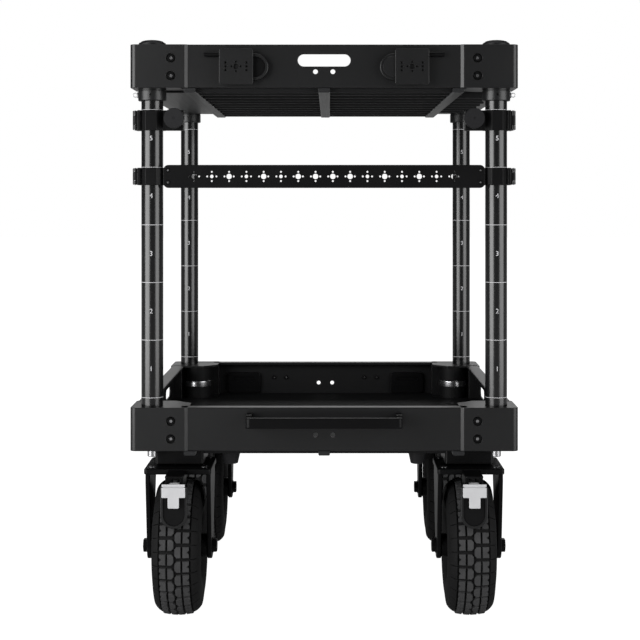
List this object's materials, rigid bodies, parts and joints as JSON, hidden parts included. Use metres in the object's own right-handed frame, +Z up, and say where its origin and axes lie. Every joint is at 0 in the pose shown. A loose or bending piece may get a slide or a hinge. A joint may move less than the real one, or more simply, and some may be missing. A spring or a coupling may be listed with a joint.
{
  "type": "cart workstation",
  "caption": "Two-tray rolling work cart on tube posts, with a drilled cross-bar on sliding post clamps, quick-fit accessory plates, a grab handle and braked swivel casters.",
  "frame": {"origin": "on the floor below the middle of the whole cart, grab handle included", "axes": "+Z up; +X to the right of someone who looks at the front, the side with the grab handle and the cross-bar; the front faces -Y"},
  "size_m": [0.67, 0.841, 1.01],
  "materials": {
    "black_anodised": "black anodised, satin",
    "black_tube": "black anodised tube, satin with soft streaks of light",
    "black_sheet": "dark coated sheet, matt",
    "black_steel": "black coated steel, satin",
    "black_plastic": "black moulded plastic, matt",
    "grey_metal": "bare pale metal, satin",
    "tyre_rubber": "black rubber with a block tread, matt",
    "rim_paint": "dark grey, satin"
  },
  "bodies": {
    "chassis": {"lower_corner_front_left": "black_anodised", "lower_corner_front_right": "black_anodised", "lower_corner_rear_left": "black_anodised", "lower_corner_rear_right": "black_anodised", "lower_front_panel": "black_anodised", "lower_rear_panel": "black_anodised", "lower_left_panel": "black_anodised", "lower_right_panel": "black_anodised", "lower_deck": "black_sheet", "upper_corner_front_left": "black_anodised", "upper_corner_front_right": "black_anodised", "upper_corner_rear_left": "black_anodised", "upper_corner_rear_right": "black_anodised", "upper_front_panel": "black_anodised", "upper_rear_panel": "black_anodised", "upper_left_panel": "black_anodised", "upper_right_panel": "black_anodised", "upper_deck": "black_sheet", "post_front_left": "black_tube", "caster_adapter_front_left": "black_anodised", "post_front_right": "black_tube", "caster_adapter_front_right": "black_anodised", "post_rear_left": "black_tube", "caster_adapter_rear_left": "black_anodised", "post_rear_right": "black_tube", "caster_adapter_rear_right": "black_anodised", "grab_handle": "black_steel", "accessory_plate_left": "black_anodised", "accessory_plate_right": "black_anodised"},
    "cross_bar_slider": {"cross_bar": "black_anodised", "bar_clamp_left": "black_anodised", "bar_clamp_right": "black_anodised"},
    "bar_lever_left": {"bar_lever_left": "grey_metal"},
    "upper_clamp_left": {"upper_clamp_left": "black_anodised"},
    "upper_lever_left": {"upper_lever_left": "grey_metal"},
    "clamp_knob_left": {"clamp_knob_left": "black_plastic"},
    "bar_lever_right": {"bar_lever_right": "grey_metal"},
    "upper_clamp_right": {"upper_clamp_right": "black_anodised"},
    "upper_lever_right": {"upper_lever_right": "grey_metal"},
    "clamp_knob_right": {"clamp_knob_right": "black_plastic"},
    "pull_pin_front_left": {"pull_pin_front_left": "grey_metal"},
    "caster_front_left": {"caster_fork_front_left": "black_steel"},
    "wheel_front_left": {"wheel_rim_front_left": "rim_paint", "tyre_front_left": "tyre_rubber"},
    "brake_pedal_front_left": {"brake_pedal_front_left": "grey_metal"},
    "pull_pin_front_right": {"pull_pin_front_right": "grey_metal"},
    "caster_front_right": {"caster_fork_front_right": "black_steel"},
    "wheel_front_right": {"wheel_rim_front_right": "rim_paint", "tyre_front_right": "tyre_rubber"},
    "brake_pedal_front_right": {"brake_pedal_front_right": "grey_metal"},
    "pull_pin_rear_left": {"pull_pin_rear_left": "grey_metal"},
    "caster_rear_left": {"caster_fork_rear_left": "black_steel"},
    "wheel_rear_left": {"wheel_rim_rear_left": "rim_paint", "tyre_rear_left": "tyre_rubber"},
    "brake_pedal_rear_left": {"brake_pedal_rear_left": "grey_metal"},
    "pull_pin_rear_right": {"pull_pin_rear_right": "grey_metal"},
    "caster_rear_right": {"caster_fork_rear_right": "black_steel"},
    "wheel_rear_right": {"wheel_rim_rear_right": "rim_paint", "tyre_rear_right": "tyre_rubber"},
    "brake_pedal_rear_right": {"brake_pedal_rear_right": "grey_metal"}
  },
  "joints": [
    {"name": "cross_bar_slide", "type": "slide", "parent": "chassis", "child": "cross_bar_slider", "axis": [0, 0, 1], "range_m": [-0.375, 0.03]},
    {"name": "bar_lever_left_turn", "type": "hinge", "parent": "cross_bar_slider", "child": "bar_lever_left", "pos_m": [-0.32867, -0.3465, 0.772], "axis": [0, 0, 1], "range_deg": [0, 120]},
    {"name": "upper_clamp_left_slide", "type": "slide", "parent": "chassis", "child": "upper_clamp_left", "axis": [0, 0, 1], "range_m": [-0.028, 0.015]},
    {"name": "upper_lever_left_turn", "type": "hinge", "parent": "upper_clamp_left", "child": "upper_lever_left", "pos_m": [-0.32867, -0.3465, 0.8695], "axis": [0, 0, 1], "range_deg": [0, 120]},
    {"name": "clamp_knob_left_turn", "type": "hinge", "parent": "upper_clamp_left", "child": "clamp_knob_left", "pos_m": [-0.26, -0.3345, 0.8725], "axis": [0, -1, 0], "range_deg": [-180, 180]},
    {"name": "bar_lever_right_turn", "type": "hinge", "parent": "cross_bar_slider", "child": "bar_lever_right", "pos_m": [0.32867, -0.3465, 0.772], "axis": [0, 0, -1], "range_deg": [0, 120]},
    {"name": "upper_clamp_right_slide", "type": "slide", "parent": "chassis", "child": "upper_clamp_right", "axis": [0, 0, 1], "range_m": [-0.028, 0.015]},
    {"name": "upper_lever_right_turn", "type": "hinge", "parent": "upper_clamp_right", "child": "upper_lever_right", "pos_m": [0.32867, -0.3465, 0.8695], "axis": [0, 0, -1], "range_deg": [0, 120]},
    {"name": "clamp_knob_right_turn", "type": "hinge", "parent": "upper_clamp_right", "child": "clamp_knob_right", "pos_m": [0.26, -0.3345, 0.8725], "axis": [0, -1, 0], "range_deg": [-180, 180]},
    {"name": "pull_pin_front_left_slide", "type": "slide", "parent": "chassis", "child": "pull_pin_front_left", "axis": [-1, 0, 0], "range_m": [0, 0.009], "stiffness_N_per_m": 200},
    {"name": "pull_pin_front_right_slide", "type": "slide", "parent": "chassis", "child": "pull_pin_front_right", "axis": [1, 0, 0], "range_m": [0, 0.009], "stiffness_N_per_m": 200},
    {"name": "pull_pin_rear_left_slide", "type": "slide", "parent": "chassis", "child": "pull_pin_rear_left", "axis": [-1, 0, 0], "range_m": [0, 0.009], "stiffness_N_per_m": 200},
    {"name": "pull_pin_rear_right_slide", "type": "slide", "parent": "chassis", "child": "pull_pin_rear_right", "axis": [1, 0, 0], "range_m": [0, 0.009], "stiffness_N_per_m": 200},
    {"name": "swivel_front_left", "type": "hinge", "parent": "chassis", "child": "caster_front_left", "pos_m": [-0.255, -0.2575, 0.265], "axis": [0, 0, 1], "continuous": true},
    {"name": "wheel_front_left_turn", "type": "hinge", "parent": "caster_front_left", "child": "wheel_front_left", "pos_m": [-0.255, -0.2925, 0.12], "axis": [1, 0, 0], "continuous": true},
    {"name": "brake_pedal_front_left_turn", "type": "hinge", "parent": "caster_front_left", "child": "brake_pedal_front_left", "pos_m": [-0.255, -0.39746, 0.243], "axis": [1, 0, 0], "range_deg": [0, 10]},
    {"name": "swivel_front_right", "type": "hinge", "parent": "chassis", "child": "caster_front_right", "pos_m": [0.255, -0.2575, 0.265], "axis": [0, 0, 1], "continuous": true},
    {"name": "wheel_front_right_turn", "type": "hinge", "parent": "caster_front_right", "child": "wheel_front_right", "pos_m": [0.255, -0.2925, 0.12], "axis": [1, 0, 0], "continuous": true},
    {"name": "brake_pedal_front_right_turn", "type": "hinge", "parent": "caster_front_right", "child": "brake_pedal_front_right", "pos_m": [0.255, -0.39746, 0.243], "axis": [1, 0, 0], "range_deg": [0, 10]},
    {"name": "swivel_rear_left", "type": "hinge", "parent": "chassis", "child": "caster_rear_left", "pos_m": [-0.255, 0.3085, 0.265], "axis": [0, 0, 1], "continuous": true},
    {"name": "wheel_rear_left_turn", "type": "hinge", "parent": "caster_rear_left", "child": "wheel_rear_left", "pos_m": [-0.255, 0.2735, 0.12], "axis": [1, 0, 0], "continuous": true},
    {"name": "brake_pedal_rear_left_turn", "type": "hinge", "parent": "caster_rear_left", "child": "brake_pedal_rear_left", "pos_m": [-0.255, 0.16854, 0.243], "axis": [1, 0, 0], "range_deg": [0, 10]},
    {"name": "swivel_rear_right", "type": "hinge", "parent": "chassis", "child": "caster_rear_right", "pos_m": [0.255, 0.3085, 0.265], "axis": [0, 0, 1], "continuous": true},
    {"name": "wheel_rear_right_turn", "type": "hinge", "parent": "caster_rear_right", "child": "wheel_rear_right", "pos_m": [0.255, 0.2735, 0.12], "axis": [1, 0, 0], "continuous": true},
    {"name": "brake_pedal_rear_right_turn", "type": "hinge", "parent": "caster_rear_right", "child": "brake_pedal_rear_right", "pos_m": [0.255, 0.16854, 0.243], "axis": [1, 0, 0], "range_deg": [0, 10]}
  ]
}
